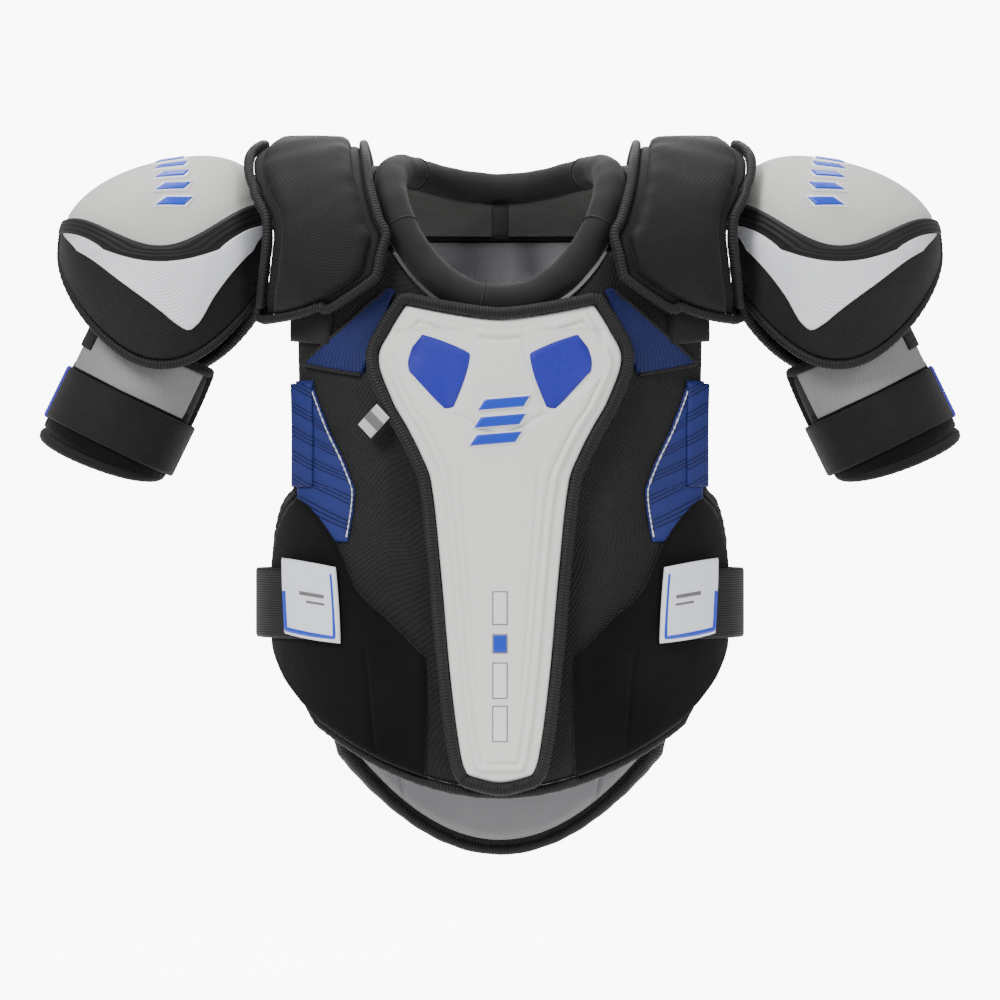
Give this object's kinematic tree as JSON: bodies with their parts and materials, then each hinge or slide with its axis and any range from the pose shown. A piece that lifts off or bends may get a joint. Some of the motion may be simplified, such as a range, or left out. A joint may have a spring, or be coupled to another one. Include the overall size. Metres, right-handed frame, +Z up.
{
  "type": "ice hockey shoulder pads",
  "caption": "Hockey shoulder pads: padded vest with moulded sternum plate, domed shoulder caps, collarbone flaps, strapped biceps guards and elastic side straps.",
  "frame": {"origin": "middle of the neck opening, at the level of its front edge", "axes": "+X to the wearer's left, -Y out of the chest, +Z up towards the head"},
  "size_m": [0.745, 0.2406, 0.5945],
  "materials": {
    "foam_black": "woven polyester mesh over foam",
    "liner_blue": "brushed lining",
    "liner_grey": "stitched grey lining",
    "plate_white": "moulded, fine woven face",
    "binding_black": "ribbed tape",
    "insert_blue": "fine mesh grain",
    "tag_silver": "reflective tape",
    "mesh_blue": "open mesh over black",
    "loop_pile": "brushed loop pile",
    "wrap_blue": "printed stretch fabric",
    "spine_plastic": "moulded",
    "collar_black": "soft knit roll",
    "webbing_black": "woven webbing",
    "elastic_black": "woven elastic",
    "tab_white": "welded label",
    "flap_black": "ballistic fabric over foam",
    "cap_plastic": "moulded liner",
    "cap_grey": "woven cover",
    "lobe_black": "coarse woven cover",
    "band_ribbed": "ribbed band",
    "accent_white": "ribbed film",
    "guard_black": "soft knit over foam",
    "knit_grey": "fine knit"
  },
  "bodies": {
    "vest": {"front_foam_pad": "foam_black", "front_liner": "liner_blue", "sternum_plate": "plate_white", "sternum_binding": "binding_black", "sternum_inserts": "insert_blue", "reflective_tag": "tag_silver", "chest_panels": "mesh_blue", "loop_panels": "loop_pile", "side_flags": "wrap_blue", "front_hem_binding": "binding_black", "back_foam_pad": "foam_black", "back_liner": "liner_grey", "spine_plate": "spine_plastic", "back_hem_binding": "binding_black", "yoke_left": "foam_black", "yoke_right": "foam_black", "collar_front": "collar_black", "collar_back": "collar_black", "hang_loop": "webbing_black", "anchor_straps": "webbing_black", "side_webs": "elastic_black", "hook_patches": "loop_pile", "cap_strap_left": "webbing_black", "cap_strap_right": "webbing_black"},
    "flap_left": {"flap_pad_left": "flap_black", "flap_binding_left": "binding_black"},
    "cap_left": {"cap_shell_left": "cap_plastic", "cap_cover_left": "cap_grey", "cap_lobe_front_left": "lobe_black", "cap_lobe_back_left": "lobe_black", "cap_band_left": "band_ribbed", "cap_accent_left": "accent_white", "cap_binding_left": "binding_black"},
    "guard_left": {"biceps_pad_left": "guard_black", "biceps_liner_left": "liner_blue", "biceps_face_left": "knit_grey", "biceps_hanger_left": "webbing_black", "biceps_web_left": "elastic_black"},
    "guard_strap_left": {"biceps_strap_left": "elastic_black"},
    "side_strap_left": {"side_strap_left": "elastic_black", "side_tab_left": "tab_white"},
    "flap_right": {"flap_pad_right": "flap_black", "flap_binding_right": "binding_black"},
    "cap_right": {"cap_shell_right": "cap_plastic", "cap_cover_right": "cap_grey", "cap_lobe_front_right": "lobe_black", "cap_lobe_back_right": "lobe_black", "cap_band_right": "band_ribbed", "cap_accent_right": "accent_white", "cap_binding_right": "binding_black"},
    "guard_right": {"biceps_pad_right": "guard_black", "biceps_liner_right": "liner_blue", "biceps_face_right": "knit_grey", "biceps_hanger_right": "webbing_black", "biceps_web_right": "elastic_black"},
    "guard_strap_right": {"biceps_strap_right": "elastic_black"},
    "side_strap_right": {"side_strap_right": "elastic_black", "side_tab_right": "tab_white"}
  },
  "joints": [
    {"name": "flap_left_lift", "type": "hinge", "parent": "vest", "child": "flap_left", "pos_m": [0.096, 0, 0.02], "axis": [0, -1, 0], "range_deg": [0, 5]},
    {"name": "cap_left_lift", "type": "hinge", "parent": "vest", "child": "cap_left", "pos_m": [0.184, 0, 0.098], "axis": [0, -1, 0], "range_deg": [0, 10]},
    {"name": "guard_left_swing", "type": "hinge", "parent": "cap_left", "child": "guard_left", "pos_m": [0.313, 0, 0.003], "axis": [0, -1, 0], "range_deg": [-10, 12]},
    {"name": "guard_strap_left_open", "type": "hinge", "parent": "guard_left", "child": "guard_strap_left", "pos_m": [0.25938, 0.002, -0.12063], "axis": [0.4384, 0, -0.8988], "range_deg": [0, 75]},
    {"name": "side_strap_left_open", "type": "hinge", "parent": "vest", "child": "side_strap_left", "pos_m": [0.1976, -0.0105, -0.243], "axis": [0, 0, 1], "range_deg": [0, 80]},
    {"name": "flap_right_lift", "type": "hinge", "parent": "vest", "child": "flap_right", "pos_m": [-0.096, 0, 0.02], "axis": [0, 1, 0], "range_deg": [0, 5]},
    {"name": "cap_right_lift", "type": "hinge", "parent": "vest", "child": "cap_right", "pos_m": [-0.184, 0, 0.098], "axis": [0, 1, 0], "range_deg": [0, 10]},
    {"name": "guard_right_swing", "type": "hinge", "parent": "cap_right", "child": "guard_right", "pos_m": [-0.313, 0, 0.003], "axis": [0, 1, 0], "range_deg": [-10, 12]},
    {"name": "guard_strap_right_open", "type": "hinge", "parent": "guard_right", "child": "guard_strap_right", "pos_m": [-0.25938, 0.002, -0.12063], "axis": [0.4384, 0, 0.8988], "range_deg": [0, 75]},
    {"name": "side_strap_right_open", "type": "hinge", "parent": "vest", "child": "side_strap_right", "pos_m": [-0.1976, -0.0105, -0.243], "axis": [0, 0, -1], "range_deg": [0, 80]}
  ]
}
